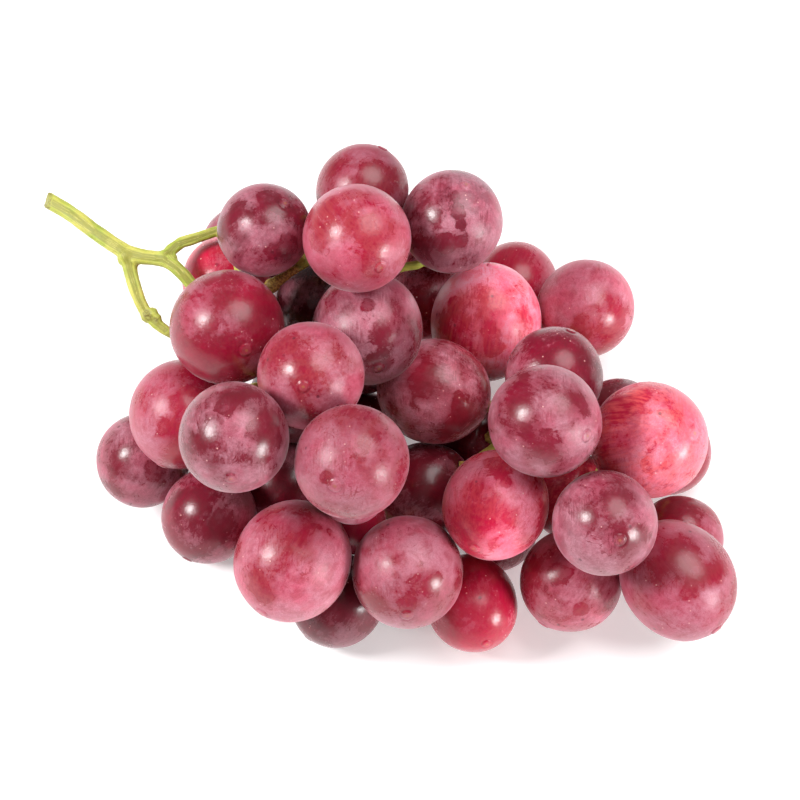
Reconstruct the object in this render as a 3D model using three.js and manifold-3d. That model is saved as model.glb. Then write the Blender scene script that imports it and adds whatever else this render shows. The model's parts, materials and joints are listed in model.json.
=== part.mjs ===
// A bunch of red table grapes lying on its side.
// One grown stalk carries every grape: the stalk is one node and each grape is a node of its own.
// The frame is +Z up with X along the bunch; the cut end of the stalk is at low X and the tip at high X.
// The grapes start at whole-millimetre places and are then settled, as a bunch settles when it is laid
// down: they push each other apart, keep off the stalk and come to rest on the surface.
// The stalk's outer forks have set places, and its inner branches find their way between the grapes.

import * as THREE from 'three';
import { mergeVertices } from 'three/addons/utils/BufferGeometryUtils.js';
import Module from 'manifold-3d';

const wasm = await Module();
wasm.setup();

// Driving dimensions, in millimetres
const touchGap = 0.35;          // left between pieces that touch
const peduncleRadius = 1.85;    // the thick stalk at its cut end
const axisRadius = 1.4;         // the main axis where it enters the bunch
const lateralRadius = 1.1;      // a side branch
const pedicelRadius = 0.75;     // the last twig to one grape
const receptacleRadius = 1.75;  // the collar that the grape sits on
const receptacleLength = 2.6;
const dimpleRadius = 3.4;       // the hollow in a grape around its stalk
const dimpleDepth = 0.8;
const grapeSides = 10;
const grapeRows = 7;
const neckLength = 0.8;         // of bare twig below a collar
const gridStep = 1;             // of the search for the inner branches
const ringSpacing = 5;          // along an inner branch
const coreReach = 22;           // how far from the middle line a way costs twice as much
const openPrice = 7;            // added to a way that no grape covers from above
const openCollar = 1.2;         // how strongly a grape hides its collar from above
const thickening = 0.28;        // power of the number of grapes by which a branch thickens
const settleRounds = 400;
const facings = 900;            // directions tried for a grape's stalk end

// The way that the laid-down bunch is looked at: from the front and above
const displayWay = new THREE.Vector3(0, -0.5, 0.866);

// The middle line of the bunch, which the inner branches keep near
const core = [[-50, 18, 56], [-32, 16, 46], [-10, 6, 42], [14, -4, 38], [36, -12, 34], [58, -22, 26]];

// Each grape: centre, width, length over width, the way its tip looks where that is known, and the
// outer limb that it hangs on where it isn't the main axis
const shoulderGrapes = [
  { at: [-10, 17, 80], width: 24.5, stretch: 1.03, tip: [0.5, -0.85, 0.15] },
  { at: [-9, 37, 69], width: 21.5, stretch: 1.04, on: 'shoulder branch' },
  { at: [-31, 24, 70], width: 21.5, stretch: 1.02, on: 'shoulder branch' },
  { at: [-42, 26, 47], width: 21, stretch: 1.04, on: 'shoulder branch' },
  { at: [-40, 4, 62], width: 26.5, stretch: 1.03 },
  { at: [-51, -8, 41], width: 25, stretch: 1.04, on: 'lower branch' },
  { at: [-62, -8, 19], width: 22.5, stretch: 1.03, on: 'lower branch' },
  { at: [-45, -28, 29], width: 22, stretch: 1.04, on: 'lower branch' },
  { at: [12, 26, 73], width: 23.5, stretch: 1.03 },
];
const upperGrapes = [
  { at: [-37, -31, 72], width: 24.5, stretch: 1.03, tip: [-0.1, -1, 0] },
  { at: [-21, -13, 67], width: 24.5, stretch: 1.06 },
  { at: [-11, -36, 70], width: 25.5, stretch: 1.02 },
  { at: [-8, 7, 56], width: 26, stretch: 1.03, tip: [0.3, -0.9, 0.3] },
  { at: [8, 2, 35], width: 25, stretch: 1.1, tip: [0.9, -0.3, 0.2] },
  { at: [21, 26, 28], width: 27, stretch: 1.09, tip: [0.1, 0.6, 0.8] },
  { at: [6, 43, 13], width: 23.5, stretch: 1.02 },
  { at: [29, 47, 12], width: 21.5, stretch: 1.04 },
  { at: [46, 33, 23], width: 24, stretch: 1.03 },
];
const frontGrapes = [
  { at: [-25, -43, 34], width: 27, stretch: 1.06, tip: [-0.5, -0.85, -0.1] },
  { at: [2, -44, 31], width: 26, stretch: 1.02, tip: [0, -0.95, 0.25] },
  { at: [22, -32, 41], width: 24.5, stretch: 1.08, tip: [-0.4, -0.9, 0.2] },
  { at: [17, -43, 12], width: 21.5, stretch: 1.14, tip: [0, -0.95, 0.1] },
  { at: [-15, -42, 11], width: 22, stretch: 1.04 },
  { at: [41, -40, 18], width: 24, stretch: 1.02 },
  { at: [-29, -16, 20], width: 22.5, stretch: 1.04 },
  { at: [7, -16, 18], width: 23, stretch: 1.04 },
];
const tipGrapes = [
  { at: [33, -21, 61], width: 25.5, stretch: 1.03, tip: [0.75, -0.55, 0.35] },
  { at: [36, -1, 46], width: 23, stretch: 1.02 },
  { at: [47, -40, 48], width: 24, stretch: 1.06, tip: [0.2, -0.7, 0.7] },
  { at: [58, -17, 45], width: 27, stretch: 1.05, tip: [0.8, -0.2, 0.6] },
  { at: [65, -44, 26], width: 26, stretch: 1.14, tip: [0.6, -0.75, -0.1] },
  { at: [68, -25, 10], width: 20.5, stretch: 1.04 },
  { at: [66, -1, 11], width: 21, stretch: 1.04 },
  { at: [52, -2, 27], width: 20, stretch: 1.04 },
  { at: [41, -17, 17], width: 21, stretch: 1.04 },
  { at: [19, 2, 11], width: 21.5, stretch: 1.04 },
];
const innerGrapes = [
  { at: [-20, 23, 43], width: 19.5, stretch: 1.04 },
  { at: [-25, 40, 35], width: 18, stretch: 1.04 },
  { at: [-25, 0, 37], width: 22, stretch: 1.03 },
  { at: [-6, 41, 44], width: 22, stretch: 1.04 },
  { at: [-9, 18, 26], width: 19.5, stretch: 1.03 },
  { at: [-11, -27, 23], width: 15, stretch: 1.03 },
  { at: [-10, 5, 11], width: 19.5, stretch: 1.04 },
  { at: [-42, 2, 11], width: 22, stretch: 1.03 },
  { at: [-39, 28, 23], width: 22.5, stretch: 1.03 },
  { at: [-21, 44, 12], width: 22.5, stretch: 1.04 },
  { at: [39, 14, 11], width: 21, stretch: 1.03 },
  { at: [-39, 49, 25], width: 21, stretch: 1.04 },
  { at: [12, 50, 33], width: 21.5, stretch: 1.03 },
  { at: [33, 2, 26], width: 19, stretch: 1.03 },
  { at: [-36, -18, 52], width: 19.5, stretch: 1.03 },
  { at: [6, 17, 11], width: 19, stretch: 1.04 },
  { at: [-27, 17, 11], width: 19, stretch: 1.03 },
  { at: [12, 38, 56], width: 19.5, stretch: 1.04 },
  { at: [24, -22, 10], width: 18.5, stretch: 1.03 },
  { at: [-11, -32, 48], width: 15, stretch: 1.03 },
  { at: [-48, -19, 10], width: 18.5, stretch: 1.04 },
  { at: [-12, -19, 9], width: 15.5, stretch: 1.03 },
];

// The stalk's outer part: each limb is a run of points from its thick end, with its end radii
const outerLimbs = [
  {
    name: 'peduncle',
    points: [[-85, 41, 60], [-79, 37, 60], [-72, 31, 60], [-65, 26, 59.5]],
    radii: [peduncleRadius, peduncleRadius],
  },
  {
    name: 'main axis',
    points: [[-65, 26, 59.5], [-61, 24.5, 60], [-56, 23.5, 60.5], [-52.5, 21, 60], [-49, 17.5, 58]],
    radii: [peduncleRadius, axisRadius],
    leadsOn: true,
  },
  {
    name: 'shoulder branch',
    points: [[-56, 23.5, 60.5], [-53, 28, 60], [-48, 30, 60], [-43, 32.5, 59.5]],
    radii: [1.5, lateralRadius],
    leadsOn: true,
  },
  {
    name: 'lower branch',
    points: [[-65, 26, 59.5], [-64, 22, 57.5], [-62, 16, 55], [-59.5, 12, 53], [-55.5, 9, 52]],
    radii: [1.7, 1.15],
    leadsOn: true,
  },
];

// Twigs whose grapes have been picked: they part at one fork and each ends in its bare collar
const bareFork = [-20, 24, 60];
const bareTwigs = [
  { points: [bareFork, [-25, 21.5, 59], [-31, 18, 57]], flare: 1.5 },
  { points: [bareFork, [-22, 25, 61], [-24, 24, 61.6]], flare: 1.5 },
];

const vec = (p) => new THREE.Vector3(...p);
const grapes = [...shoulderGrapes, ...upperGrapes, ...frontGrapes, ...tipGrapes, ...innerGrapes];

// Nearest point to p on a run of points
function nearestOnRun(run, p) {
  let best = null;
  const link = new THREE.Line3();
  const foot = new THREE.Vector3();
  for (let i = 1; i < run.length; i += 1) {
    link.set(run[i - 1], run[i]);
    link.closestPointToPoint(p, true, foot);
    if (!best || foot.distanceTo(p) < best.distanceTo(p)) best = foot.clone();
  }
  return best;
}

// How far a grape reaches from its centre along a direction, as an upright oval turned about its axis
function reach(grape, direction) {
  const along = direction.dot(grape.axis);
  const half = grape.width / 2;
  return half * Math.sqrt(1 + along * along * (grape.stretch ** 2 - 1));
}

const coreRun = core.map(vec);
for (const grape of grapes) {
  grape.centre = vec(grape.at);
  const outward = grape.centre.clone().sub(nearestOnRun(coreRun, grape.centre));
  grape.axis = (grape.tip ? vec(grape.tip) : outward).normalize();
}

const stalkRuns = [...outerLimbs, ...bareTwigs].map((limb) => ({
  run: limb.points.map(vec),
  radius: Math.max(...(limb.radii ?? [pedicelRadius, limb.flare])),
}));

// Pushes the grapes apart, off the stalk and up from the surface until nothing is nearer than the gap
function settle(rounds) {
  const between = new THREE.Vector3();
  for (let round = 0; round < rounds; round += 1) {
    for (let i = 0; i < grapes.length; i += 1) {
      for (let j = i + 1; j < grapes.length; j += 1) {
        between.subVectors(grapes[j].centre, grapes[i].centre);
        const distance = between.length();
        between.divideScalar(distance);
        const short = reach(grapes[i], between) + reach(grapes[j], between) + touchGap - distance;
        if (short > 0) {
          grapes[i].centre.addScaledVector(between, -short / 2);
          grapes[j].centre.addScaledVector(between, short / 2);
        }
      }
    }
    for (const grape of grapes) {
      for (const { run, radius } of stalkRuns) {
        between.subVectors(grape.centre, nearestOnRun(run, grape.centre));
        const distance = between.length();
        between.divideScalar(distance);
        const short = reach(grape, between) + radius + touchGap - distance;
        if (short > 0) grape.centre.addScaledVector(between, short);
      }
      const lowest = reach(grape, new THREE.Vector3(0, 0, -1));
      if (grape.centre.z < lowest) grape.centre.z = lowest;
    }
  }
}

// Room round a point: distance to the nearest grape other than skip, or to the surface below
function room(point, skip) {
  const longestReach = 0.6;
  let least = point.z;
  const between = new THREE.Vector3();
  for (const grape of grapes) {
    if (grape === skip) continue;
    between.subVectors(point, grape.centre);
    const distance = between.length();
    if (distance - grape.width * longestReach < least) {
      least = Math.min(least, distance - reach(grape, between.divideScalar(distance)));
    }
  }
  return least;
}

// Whether a grape hides a point from someone who looks at the bunch from its display side
function covered(point) {
  const margin = 1.2;
  const between = new THREE.Vector3();
  return grapes.some((grape) => {
    between.subVectors(grape.centre, point);
    const towards = between.dot(displayWay);
    const aside = between.addScaledVector(displayWay, -towards).length();
    return towards > 0 && aside < grape.width / 2 - margin;
  });
}

// Turns a grape so that its stalk end faces a gap wide enough for the collar, as near as can be
// to the way it wants to face, and out of sight if it can be
function faceOpenGap(grape) {
  const golden = Math.PI * (3 - Math.sqrt(5));
  const way = new THREE.Vector3();
  const spot = new THREE.Vector3();
  let best = null;
  for (let i = 0; i < facings; i += 1) {
    const height = 1 - (2 * (i + 0.5)) / facings;
    const ring = Math.sqrt(1 - height * height);
    way.set(Math.cos(golden * i) * ring, Math.sin(golden * i) * ring, height);
    const surface = reach(grape, way) + touchGap;
    const collarRoom = room(spot.copy(grape.centre).addScaledVector(way, surface + neckLength), grape);
    const twigRoom = room(spot.copy(grape.centre).addScaledVector(way, surface + receptacleLength), grape);
    if (collarRoom < receptacleRadius + 0.2 || twigRoom < pedicelRadius + 0.5) continue;
    const score = -way.dot(grape.axis) - (covered(spot) ? 0 : openCollar);
    if (!best || score > best.score) best = { score, way: way.clone() };
  }
  if (best) grape.axis = best.way.negate();
}

settle(settleRounds);
grapes.forEach(faceOpenGap);
settle(settleRounds / 2);

// The free space between the grapes, as a grid of cells
const bounds = new THREE.Box3().setFromPoints(grapes.map((grape) => grape.centre)).expandByScalar(16);
const cells = bounds.getSize(new THREE.Vector3()).divideScalar(gridStep).ceil();
const inside = bounds.clone().expandByScalar(-2 * gridStep);
const cellIndex = (i, j, k) => (k * cells.y + j) * cells.x + i;

function cellAt(point) {
  const place = point.clone().sub(bounds.min).divideScalar(gridStep).round();
  return cellIndex(place.x, place.y, place.z);
}

function cellCentre(index) {
  const i = index % cells.x;
  const j = Math.floor(index / cells.x) % cells.y;
  const k = Math.floor(index / (cells.x * cells.y));
  return new THREE.Vector3(i, j, k).multiplyScalar(gridStep).add(bounds.min);
}

const leads = outerLimbs.filter((limb) => limb.leadsOn);
for (const lead of leads) lead.end = vec(lead.points.at(-1));
const prices = new Map();

// What a step through a cell costs: more in narrow places, in the open and far from the middle line
function priceOf(cell) {
  if (!prices.has(cell)) {
    const centre = cellCentre(cell);
    const free = room(centre, null) - pedicelRadius - touchGap;
    const away = centre.distanceTo(nearestOnRun(coreRun, centre));
    const passable = free > 0 && inside.containsPoint(centre);
    const price = 1 + (away / coreReach) ** 2 + 1 / (1 + 2 * free) + (covered(centre) ? 0 : openPrice);
    prices.set(cell, passable ? price : Infinity);
  }
  return prices.get(cell);
}

function nearestFreeCell(point) {
  let best = null;
  for (let i = -3; i <= 3; i += 1) {
    for (let j = -3; j <= 3; j += 1) {
      for (let k = -3; k <= 3; k += 1) {
        const cell = cellAt(new THREE.Vector3(i, j, k).multiplyScalar(gridStep).add(point));
        const distance = cellCentre(cell).distanceTo(point);
        if (priceOf(cell) < Infinity && (!best || distance < best.distance)) best = { cell, distance };
      }
    }
  }
  return best.cell;
}

// Cells that the stalk has grown through, each with its limb, its lead and the toll for joining there
const grown = new Map();
const tollRate = 0.35;
for (const lead of leads) grown.set(nearestFreeCell(lead.end), { limb: null, lead, toll: 0 });

const moves = [];
for (let i = -1; i <= 1; i += 1) {
  for (let j = -1; j <= 1; j += 1) {
    for (let k = -1; k <= 1; k += 1) {
      if (i || j || k) moves.push({ jump: cellIndex(i, j, k), length: Math.hypot(i, j, k) * gridStep });
    }
  }
}

// The cheapest way through the free space from the grown stalk, or from one lead's share of it
function wayFromStalk(start, leadName) {
  const cost = new Map([[start, 0]]);
  const parent = new Map();
  const queue = [[start]];
  let best = null;
  for (let slot = 0; slot < queue.length && (!best || slot < best.total * 2); slot += 1) {
    for (const here of queue[slot] ?? []) {
      const paid = cost.get(here);
      if (Math.floor(paid * 2) !== slot) continue;
      const joint = grown.get(here);
      if (joint && joint.lead.name === (leadName ?? joint.lead.name)) {
        const total = paid + joint.toll;
        if (!best || total < best.total) best = { cell: here, total };
        continue;
      }
      for (const { jump, length } of moves) {
        const value = paid + length * priceOf(here + jump);
        if (value === Infinity || value >= (cost.get(here + jump) ?? Infinity) - 1e-3) continue;
        cost.set(here + jump, value);
        parent.set(here + jump, here);
        (queue[Math.floor(value * 2)] ??= []).push(here + jump);
      }
    }
  }
  const way = [];
  for (let cell = best.cell; cell !== undefined; cell = parent.get(cell)) way.push(cell);
  return way;
}

// Moves a run's inner points to a smooth line that still keeps its distance from the grapes
function smoothRun(run, radius) {
  const middle = new THREE.Vector3();
  const between = new THREE.Vector3();
  for (let round = 0; round < 60; round += 1) {
    for (let i = 1; i < run.length - 1; i += 1) {
      middle.addVectors(run[i - 1], run[i + 1]).multiplyScalar(0.5);
      run[i].lerp(middle, 0.5);
    }
    for (let i = 1; i < run.length - 1; i += 1) {
      for (const grape of grapes) {
        between.subVectors(run[i], grape.centre);
        const distance = between.length();
        if (distance > grape.width) continue;
        between.divideScalar(distance);
        const short = reach(grape, between) + radius + touchGap + 0.15 - distance;
        if (short > 0) run[i].addScaledVector(between, short);
      }
    }
  }
}

const curveThrough = (run) => new THREE.CatmullRomCurve3(run, false, 'centripetal');
const stepsAlong = (curve, spacing) => Math.max(2, Math.round(curve.getLength() / spacing));

function resample(run, spacing) {
  const curve = curveThrough(run);
  return curve.getSpacedPoints(stepsAlong(curve, spacing));
}

// Turns a geometry into a solid for joining
function solidOf(geometry) {
  const bare = geometry.clone();
  bare.deleteAttribute('normal');
  bare.deleteAttribute('uv');
  const merged = mergeVertices(bare, 1e-4);
  const vertProperties = new Float32Array(merged.attributes.position.array);
  const triVerts = new Uint32Array(merged.index.array);
  return new wasm.Manifold(new wasm.Mesh({ numProp: 3, vertProperties, triVerts }));
}

// A round limb along a run of points, its radius given at each share of its length
function limbSolid(run, radiusAt, spacing, sides) {
  const curve = curveThrough(run);
  const steps = stepsAlong(curve, spacing);
  const section = new THREE.Shape();
  for (let side = 0; side < sides; side += 1) {
    const angle = (2 * Math.PI * side) / sides;
    const corner = [Math.cos(angle), Math.sin(angle)];
    if (side === 0) section.moveTo(...corner);
    else section.lineTo(...corner);
  }
  const geometry = new THREE.ExtrudeGeometry(section, { steps, bevelEnabled: false, extrudePath: curve });
  const middles = curve.getSpacedPoints(steps);
  const place = geometry.attributes.position;
  const corner = new THREE.Vector3();
  for (let i = 0; i < place.count; i += 1) {
    corner.fromBufferAttribute(place, i);
    let ring = 0;
    middles.forEach((middle, index) => {
      if (middle.distanceTo(corner) < middles[ring].distanceTo(corner)) ring = index;
    });
    corner.sub(middles[ring]).multiplyScalar(radiusAt(ring / steps)).add(middles[ring]);
    place.setXYZ(i, corner.x, corner.y, corner.z);
  }
  return solidOf(geometry);
}

// The collar under a grape: a cone that opens towards the grape, with its wide end at the seat
function collarSolid(seat, towardGrape) {
  const profile = [
    new THREE.Vector2(0, -receptacleLength),
    new THREE.Vector2(receptacleRadius, -receptacleLength * 0.15),
    new THREE.Vector2(receptacleRadius * 0.8, 0),
    new THREE.Vector2(0, 0),
  ];
  const geometry = new THREE.LatheGeometry(profile, 6);
  const turn = new THREE.Quaternion().setFromUnitVectors(new THREE.Vector3(0, 1, 0), towardGrape);
  geometry.applyQuaternion(turn);
  geometry.translate(seat.x, seat.y, seat.z);
  return solidOf(geometry);
}

// Grows a limb from the stalk as it stands out to a neck, which may carry a grape
function growLimb({ neck, grape }) {
  const way = wayFromStalk(nearestFreeCell(neck), grape?.on);
  const joint = grown.get(way[0]);
  const root = joint.limb ? nearestOnRun(joint.limb.rings, cellCentre(way[0])) : joint.lead.end;
  const run = resample([root, ...way.slice(1).map(cellCentre), neck], 2);
  smoothRun(run, pedicelRadius);
  if (grape) run.push(grape.seat.clone().addScaledVector(grape.axis, -receptacleLength * 0.6));
  const rings = resample(run, ringSpacing);
  const limb = { grape, run, rings, parent: joint.limb, joinedAt: joint.share ?? 0, carried: 1, forks: [] };
  if (joint.limb) joint.limb.forks.push(limb);
  way.forEach((cell, index) => {
    if (grown.has(cell)) return;
    const toll = joint.toll + tollRate * index * gridStep;
    grown.set(cell, { limb, lead: joint.lead, toll, share: index / way.length });
  });
  return limb;
}

// Each grape's seat on its collar, and the neck below it where its twig ends
const ends = grapes.map((grape) => {
  const outward = grape.axis.clone().negate();
  const surface = reach(grape, outward) - dimpleDepth + touchGap;
  grape.seat = grape.centre.clone().addScaledVector(outward, surface);
  return { grape, neck: grape.seat.clone().addScaledVector(outward, receptacleLength + neckLength) };
});
ends.push({ grape: null, neck: vec(bareFork) });

// The main axis grows first, out to the farthest grape; then the grapes on the outer branches, and
// the rest from near to far
const farness = (end) => Math.min(...leads.map((lead) => lead.end.distanceTo(end.neck)));
ends.sort((a, b) => farness(a) - farness(b));
const farthest = ends.pop();
const onBranches = ends.filter((end) => end.grape?.on);
const onAxis = ends.filter((end) => !end.grape?.on);
const limbs = [farthest, ...onBranches, ...onAxis].map(growLimb);
for (const limb of [...limbs].reverse()) if (limb.parent) limb.parent.carried += limb.carried;

// A branch thickens with the number of grapes that it carries, where there is room for it
function limbRadius(limb, share) {
  const beyond = limb.forks.filter((fork) => fork.joinedAt >= share);
  const load = beyond.reduce((sum, fork) => sum + fork.carried, 1);
  const spot = limb.rings[Math.round(share * (limb.rings.length - 1))];
  const free = room(spot, share > 0.7 ? limb.grape : null) - touchGap;
  return Math.max(0.6, Math.min(axisRadius, pedicelRadius * load ** thickening, free));
}

const solids = [];
for (const limb of outerLimbs) {
  const [first, last] = limb.radii;
  solids.push(limbSolid(limb.points.map(vec), (share) => first + (last - first) * share, 3, 8));
}
for (const twig of bareTwigs) {
  const swell = (share) => pedicelRadius + (twig.flare - pedicelRadius) * share ** 2;
  solids.push(limbSolid(twig.points.map(vec), swell, 2, 8));
}
for (const limb of limbs) {
  solids.push(limbSolid(limb.run, (share) => limbRadius(limb, share), ringSpacing, 6));
  if (limb.grape) solids.push(collarSolid(limb.grape.seat, limb.grape.axis));
}

function geometryOf(solid) {
  const mesh = solid.getMesh();
  const geometry = new THREE.BufferGeometry();
  geometry.setAttribute('position', new THREE.BufferAttribute(mesh.vertProperties, 3));
  geometry.setIndex(new THREE.BufferAttribute(mesh.triVerts, 1));
  geometry.computeVertexNormals();
  return geometry;
}

// One grape about its own axis: tip down, a shallow dimple round the stalk at the top
function grapeGeometry(width, stretch) {
  const half = (width * stretch) / 2;
  const profile = [new THREE.Vector2(0, -half)];
  for (let row = 1; row < grapeRows; row += 1) {
    const angle = (Math.PI * row) / grapeRows;
    profile.push(new THREE.Vector2((Math.sin(angle) * width) / 2, -Math.cos(angle) * half));
  }
  const shoulder = Math.sqrt(1 - (2 * dimpleRadius / width) ** 2) * half;
  profile.push(new THREE.Vector2(dimpleRadius, shoulder));
  profile.push(new THREE.Vector2(0, half - dimpleDepth));
  return new THREE.LatheGeometry(profile, grapeSides);
}

const bunch = new THREE.Group();
const laid = new THREE.Group();
bunch.add(laid);

const stalk = solids.reduce((whole, limb) => whole.add(limb));
const stalkFinish = new THREE.MeshStandardMaterial({ color: 0xa3a63a, roughness: 0.6, metalness: 0 });
const stalkMesh = new THREE.Mesh(geometryOf(stalk), stalkFinish);
stalkMesh.name = 'stem';
laid.add(stalkMesh);

const skins = [0xa83a52, 0x8c2f4a, 0xb8526a, 0x6e2a40, 0xb02c44];
grapes.forEach((grape, index) => {
  const skin = new THREE.MeshStandardMaterial({
    color: skins[index % skins.length],
    roughness: 0.35,
    metalness: 0,
  });
  const mesh = new THREE.Mesh(grapeGeometry(grape.width, grape.stretch), skin);
  mesh.name = `grape_${String(index + 1).padStart(2, '0')}`;
  mesh.position.copy(grape.centre);
  mesh.quaternion.setFromUnitVectors(new THREE.Vector3(0, -1, 0), grape.axis);
  laid.add(mesh);
});

// The origin is at the middle of the bunch, on the surface that it lies on
laid.updateMatrixWorld(true);
const box = new THREE.Box3().setFromObject(laid, true);
laid.position.set(-(box.min.x + box.max.x) / 2, -(box.min.y + box.max.y) / 2, -box.min.z);
bunch.updateMatrixWorld(true);

export default bunch;
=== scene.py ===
import json
import math
import random

import bpy
import numpy as np
from mathutils import Matrix, Vector
from mathutils.kdtree import KDTree

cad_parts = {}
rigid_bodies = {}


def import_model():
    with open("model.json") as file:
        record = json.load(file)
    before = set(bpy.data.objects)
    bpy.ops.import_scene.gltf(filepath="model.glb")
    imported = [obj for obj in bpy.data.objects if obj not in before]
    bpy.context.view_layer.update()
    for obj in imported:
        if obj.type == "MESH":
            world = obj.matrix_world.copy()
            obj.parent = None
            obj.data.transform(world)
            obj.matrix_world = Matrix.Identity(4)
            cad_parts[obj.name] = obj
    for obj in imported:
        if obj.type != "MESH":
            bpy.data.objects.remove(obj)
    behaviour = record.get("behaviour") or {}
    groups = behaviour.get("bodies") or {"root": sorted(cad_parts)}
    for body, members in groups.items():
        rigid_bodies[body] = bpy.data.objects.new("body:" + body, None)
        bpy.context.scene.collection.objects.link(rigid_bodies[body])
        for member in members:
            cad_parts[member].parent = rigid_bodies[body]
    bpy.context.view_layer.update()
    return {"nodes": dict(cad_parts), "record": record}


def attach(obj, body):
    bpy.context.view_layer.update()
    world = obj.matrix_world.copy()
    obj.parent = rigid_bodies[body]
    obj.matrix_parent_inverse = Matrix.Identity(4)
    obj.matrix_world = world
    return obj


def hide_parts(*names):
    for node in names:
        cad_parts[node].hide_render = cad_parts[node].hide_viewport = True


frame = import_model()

# A bunch of red table grapes on its side. Metres, X from the cut stalk to the tip, Z up.
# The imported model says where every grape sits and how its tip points, the skins are made here.

mm = 0.001
scene = bpy.context.scene
grapeNodes = sorted(name for name in frame["nodes"] if name.startswith("grape_"))
print("frame loaded, grapes:", len(grapeNodes))


# ---- small helpers for working by hand

def clearPick():
    if bpy.context.object and bpy.context.object.mode != "OBJECT":
        bpy.ops.object.mode_set(mode="OBJECT")
    bpy.ops.object.select_all(action="DESELECT")


def pick(piece):
    clearPick()
    piece.select_set(True)
    bpy.context.view_layer.objects.active = piece


def editWhere(piece, test, kind="VERT"):      # enters edit mode with what passes the test selected
    pick(piece)
    bpy.ops.object.mode_set(mode="EDIT")
    bpy.ops.mesh.select_mode(type=kind)
    bpy.ops.mesh.select_all(action="DESELECT")
    bpy.ops.object.mode_set(mode="OBJECT")
    for part in piece.data.vertices if kind == "VERT" else piece.data.polygons:
        part.select = test(part.co if kind == "VERT" else part.center)
    bpy.ops.object.mode_set(mode="EDIT")


def leaveEdit():
    bpy.ops.object.mode_set(mode="OBJECT")


def useModifier(piece, kind, **values):       # adds a modifier and applies it
    pick(piece)
    step = piece.modifiers.new(kind.lower(), kind)
    for key, value in values.items():
        setattr(step, key, value)
    bpy.ops.object.modifier_apply(modifier=step.name)


def readPoints(piece):
    points = np.empty(len(piece.data.vertices) * 3)
    piece.data.vertices.foreach_get("co", points)
    return points.reshape(-1, 3)


def giveValues(piece, name, values, kind="FLOAT", key="value"):       # one value for each point of the mesh
    numbers = np.asarray(values, np.float32).ravel()
    piece.data.attributes.new(name, kind, "POINT").data.foreach_set(key, numbers)


# ---- camera, at the angle that looks down on the lying bunch

cameraSetup = {
    "aim": Vector((0.0036, -0.0017, 0.035)),
    "elevation": 60,        # degrees above the surface, looking along +Y
    "distance": 0.72,
    "lens": 135,
}


def addCamera(setup):
    lift = math.radians(setup["elevation"])
    away = Vector((0, -math.cos(lift), math.sin(lift))) * setup["distance"]
    bpy.ops.object.camera_add(location=setup["aim"] + away, rotation=(math.pi / 2 - lift, 0, 0))
    camera = bpy.context.object
    camera.data.lens = setup["lens"]
    camera.data.sensor_width = 36
    scene.camera = camera


clearPick()
addCamera(cameraSetup)
print("camera set")


# ---- node groups shared by the finishes

def newGroup(name, inputs, outputs):
    group = bpy.data.node_groups.new(name, "ShaderNodeTree")
    for label, kind, value in inputs:
        socket = group.interface.new_socket(label, in_out="INPUT", socket_type="NodeSocket" + kind)
        if value is not None:
            socket.default_value = value
    for label, kind in outputs:
        group.interface.new_socket(label, in_out="OUTPUT", socket_type="NodeSocket" + kind)
    start = group.nodes.new("NodeGroupInput")
    end = group.nodes.new("NodeGroupOutput")
    return group, start.outputs, end.inputs


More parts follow.
